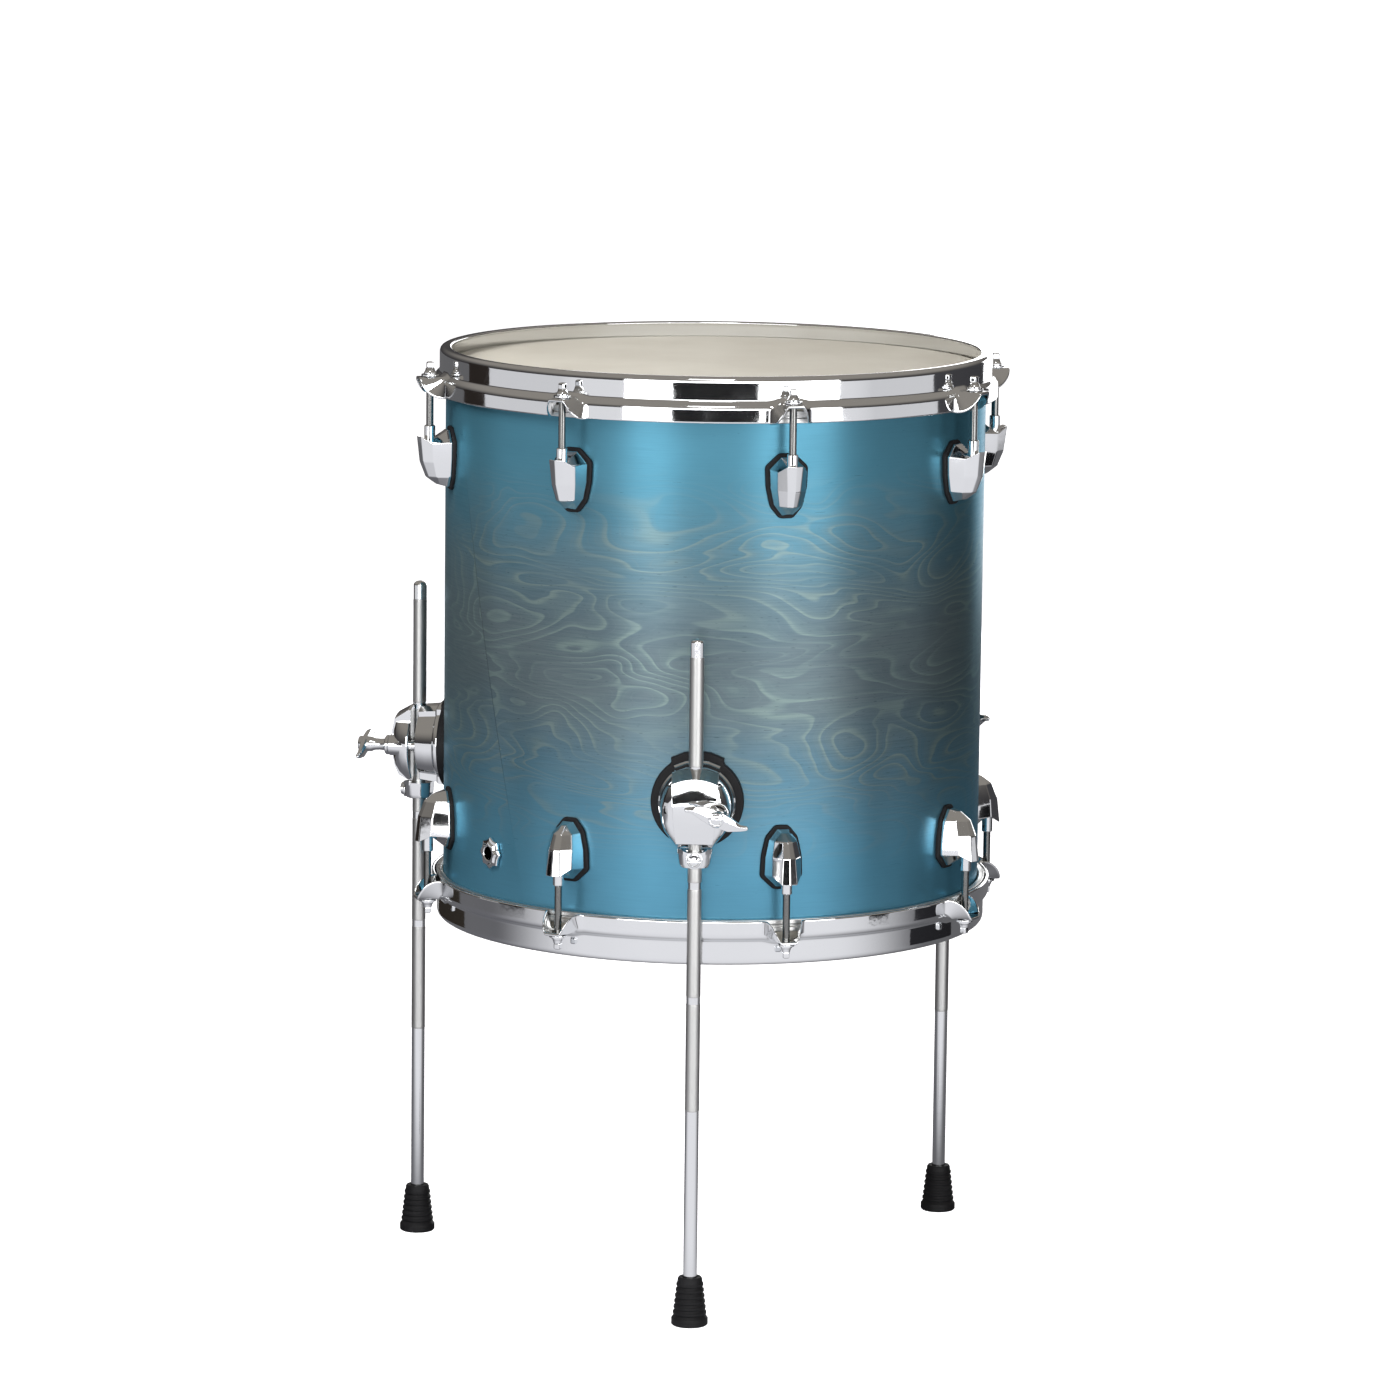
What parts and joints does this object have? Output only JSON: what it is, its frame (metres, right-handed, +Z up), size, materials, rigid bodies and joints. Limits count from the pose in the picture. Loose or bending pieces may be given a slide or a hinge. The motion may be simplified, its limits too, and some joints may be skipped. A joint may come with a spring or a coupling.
{
  "type": "floor tom",
  "caption": "Free-standing floor tom drum: burst-lacquered wood shell, flanged hoops, faceted lugs and tension rods, on clamped height-adjustable legs.",
  "frame": {"origin": "centre of the batter head's top face, on the drum's axis", "axes": "+Z up along the drum's axis; the air vent faces -Y; legs stand 50 degrees either side of -Y and at +Y"},
  "size_m": [0.4476, 0.488, 0.6961],
  "materials": {
    "shell_lacquer": "satin turquoise burst lacquer over figured veneer, darker in the middle",
    "head_film": "coated matt film with an aluminium flesh hoop",
    "chrome": "mirror chrome plate",
    "leg_steel": "chromed steel rod with knurled lengths",
    "rubber": "matt black rubber"
  },
  "bodies": {
    "root": {"shell": "shell_lacquer", "batter_head": "head_film", "resonant_head": "head_film", "batter_hoop": "chrome", "resonant_hoop": "chrome", "vent_grommet": "chrome", "vent_grommet_nut": "chrome", "batter_lug_1": "chrome", "batter_lug_2": "chrome", "batter_lug_3": "chrome", "batter_lug_4": "chrome", "batter_lug_5": "chrome", "batter_lug_6": "chrome", "batter_lug_7": "chrome", "batter_lug_8": "chrome", "resonant_lug_1": "chrome", "resonant_lug_2": "chrome", "resonant_lug_3": "chrome", "resonant_lug_4": "chrome", "resonant_lug_5": "chrome", "resonant_lug_6": "chrome", "resonant_lug_7": "chrome", "resonant_lug_8": "chrome", "leg_bracket_gasket_right": "rubber", "leg_bracket_base_right": "chrome", "leg_bracket_gasket_left": "rubber", "leg_bracket_base_left": "chrome", "leg_bracket_gasket_rear": "rubber", "leg_bracket_base_rear": "chrome"},
    "jaw_right": {"leg_bracket_jaw_right": "chrome"},
    "wing_bolt_right": {"wing_bolt_right": "chrome"},
    "leg_right": {"leg_right": "leg_steel", "leg_foot_right": "rubber"},
    "memory_lock_right": {"memory_lock_right": "chrome"},
    "jaw_left": {"leg_bracket_jaw_left": "chrome"},
    "wing_bolt_left": {"wing_bolt_left": "chrome"},
    "leg_left": {"leg_left": "leg_steel", "leg_foot_left": "rubber"},
    "memory_lock_left": {"memory_lock_left": "chrome"},
    "jaw_rear": {"leg_bracket_jaw_rear": "chrome"},
    "wing_bolt_rear": {"wing_bolt_rear": "chrome"},
    "leg_rear": {"leg_rear": "leg_steel", "leg_foot_rear": "rubber"},
    "memory_lock_rear": {"memory_lock_rear": "chrome"},
    "batter_tension_rod_1": {"batter_tension_rod_1": "chrome"},
    "batter_tension_rod_2": {"batter_tension_rod_2": "chrome"},
    "batter_tension_rod_3": {"batter_tension_rod_3": "chrome"},
    "batter_tension_rod_4": {"batter_tension_rod_4": "chrome"},
    "batter_tension_rod_5": {"batter_tension_rod_5": "chrome"},
    "batter_tension_rod_6": {"batter_tension_rod_6": "chrome"},
    "batter_tension_rod_7": {"batter_tension_rod_7": "chrome"},
    "batter_tension_rod_8": {"batter_tension_rod_8": "chrome"},
    "resonant_tension_rod_1": {"resonant_tension_rod_1": "chrome"},
    "resonant_tension_rod_2": {"resonant_tension_rod_2": "chrome"},
    "resonant_tension_rod_3": {"resonant_tension_rod_3": "chrome"},
    "resonant_tension_rod_4": {"resonant_tension_rod_4": "chrome"},
    "resonant_tension_rod_5": {"resonant_tension_rod_5": "chrome"},
    "resonant_tension_rod_6": {"resonant_tension_rod_6": "chrome"},
    "resonant_tension_rod_7": {"resonant_tension_rod_7": "chrome"},
    "resonant_tension_rod_8": {"resonant_tension_rod_8": "chrome"}
  },
  "joints": [
    {"name": "jaw_right_slide", "type": "slide", "parent": "root", "child": "jaw_right", "axis": [0.766, -0.6428, 0], "range_m": [0, 0.0025]},
    {"name": "wing_bolt_right_turn", "type": "hinge", "parent": "jaw_right", "child": "wing_bolt_right", "pos_m": [0.20091, -0.14639, -0.3002], "axis": [0.766, -0.6428, 0], "range_deg": [0, 720]},
    {"name": "leg_right_height", "type": "slide", "parent": "root", "child": "leg_right", "axis": [0, 0, 1], "range_m": [-0.08, 0]},
    {"name": "memory_lock_right_slide", "type": "slide", "parent": "leg_right", "child": "memory_lock_right", "axis": [0, 0, 1], "range_m": [-0.29, 0]},
    {"name": "jaw_left_slide", "type": "slide", "parent": "root", "child": "jaw_left", "axis": [-0.766, -0.6428, 0], "range_m": [0, 0.0025]},
    {"name": "wing_bolt_left_turn", "type": "hinge", "parent": "jaw_left", "child": "wing_bolt_left", "pos_m": [-0.17905, -0.17243, -0.3002], "axis": [-0.766, -0.6428, 0], "range_deg": [0, 720]},
    {"name": "leg_left_height", "type": "slide", "parent": "root", "child": "leg_left", "axis": [0, 0, 1], "range_m": [-0.08, 0]},
    {"name": "memory_lock_left_slide", "type": "slide", "parent": "leg_left", "child": "memory_lock_left", "axis": [0, 0, 1], "range_m": [-0.29, 0]},
    {"name": "jaw_rear_slide", "type": "slide", "parent": "root", "child": "jaw_rear", "axis": [0, 1, 0], "range_m": [0, 0.0025]},
    {"name": "wing_bolt_rear_turn", "type": "hinge", "parent": "jaw_rear", "child": "wing_bolt_rear", "pos_m": [-0.017, 0.248, -0.3002], "axis": [0, 1, 0], "range_deg": [0, 720]},
    {"name": "leg_rear_height", "type": "slide", "parent": "root", "child": "leg_rear", "axis": [0, 0, 1], "range_m": [-0.08, 0]},
    {"name": "memory_lock_rear_slide", "type": "slide", "parent": "leg_rear", "child": "memory_lock_rear", "axis": [0, 0, 1], "range_m": [-0.29, 0]},
    {"name": "batter_tension_rod_1_turn", "type": "hinge", "parent": "root", "child": "batter_tension_rod_1", "pos_m": [0.08419, -0.20325, -0.0007], "axis": [0, 0, 1], "continuous": true},
    {"name": "batter_tension_rod_2_turn", "type": "hinge", "parent": "root", "child": "batter_tension_rod_2", "pos_m": [0.20325, -0.08419, -0.0007], "axis": [0, 0, 1], "continuous": true},
    {"name": "batter_tension_rod_3_turn", "type": "hinge", "parent": "root", "child": "batter_tension_rod_3", "pos_m": [0.20325, 0.08419, -0.0007], "axis": [0, 0, 1], "continuous": true},
    {"name": "batter_tension_rod_4_turn", "type": "hinge", "parent": "root", "child": "batter_tension_rod_4", "pos_m": [0.08419, 0.20325, -0.0007], "axis": [0, 0, 1], "continuous": true},
    {"name": "batter_tension_rod_5_turn", "type": "hinge", "parent": "root", "child": "batter_tension_rod_5", "pos_m": [-0.08419, 0.20325, -0.0007], "axis": [0, 0, 1], "continuous": true},
    {"name": "batter_tension_rod_6_turn", "type": "hinge", "parent": "root", "child": "batter_tension_rod_6", "pos_m": [-0.20325, 0.08419, -0.0007], "axis": [0, 0, 1], "continuous": true},
    {"name": "batter_tension_rod_7_turn", "type": "hinge", "parent": "root", "child": "batter_tension_rod_7", "pos_m": [-0.20325, -0.08419, -0.0007], "axis": [0, 0, 1], "continuous": true},
    {"name": "batter_tension_rod_8_turn", "type": "hinge", "parent": "root", "child": "batter_tension_rod_8", "pos_m": [-0.08419, -0.20325, -0.0007], "axis": [0, 0, 1], "continuous": true},
    {"name": "resonant_tension_rod_1_turn", "type": "hinge", "parent": "root", "child": "resonant_tension_rod_1", "pos_m": [0.08419, -0.20325, -0.4071], "axis": [0, 0, -1], "continuous": true},
    {"name": "resonant_tension_rod_2_turn", "type": "hinge", "parent": "root", "child": "resonant_tension_rod_2", "pos_m": [0.20325, -0.08419, -0.4071], "axis": [0, 0, -1], "continuous": true},
    {"name": "resonant_tension_rod_3_turn", "type": "hinge", "parent": "root", "child": "resonant_tension_rod_3", "pos_m": [0.20325, 0.08419, -0.4071], "axis": [0, 0, -1], "continuous": true},
    {"name": "resonant_tension_rod_4_turn", "type": "hinge", "parent": "root", "child": "resonant_tension_rod_4", "pos_m": [0.08419, 0.20325, -0.4071], "axis": [0, 0, -1], "continuous": true},
    {"name": "resonant_tension_rod_5_turn", "type": "hinge", "parent": "root", "child": "resonant_tension_rod_5", "pos_m": [-0.08419, 0.20325, -0.4071], "axis": [0, 0, -1], "continuous": true},
    {"name": "resonant_tension_rod_6_turn", "type": "hinge", "parent": "root", "child": "resonant_tension_rod_6", "pos_m": [-0.20325, 0.08419, -0.4071], "axis": [0, 0, -1], "continuous": true},
    {"name": "resonant_tension_rod_7_turn", "type": "hinge", "parent": "root", "child": "resonant_tension_rod_7", "pos_m": [-0.20325, -0.08419, -0.4071], "axis": [0, 0, -1], "continuous": true},
    {"name": "resonant_tension_rod_8_turn", "type": "hinge", "parent": "root", "child": "resonant_tension_rod_8", "pos_m": [-0.08419, -0.20325, -0.4071], "axis": [0, 0, -1], "continuous": true}
  ],
  "couplings": [
    {"joint": "wing_bolt_right_turn", "follows": "jaw_right_slide", "rad_per_m": 5026.5},
    {"joint": "wing_bolt_left_turn", "follows": "jaw_left_slide", "rad_per_m": 5026.5},
    {"joint": "wing_bolt_rear_turn", "follows": "jaw_rear_slide", "rad_per_m": 5026.5}
  ]
}
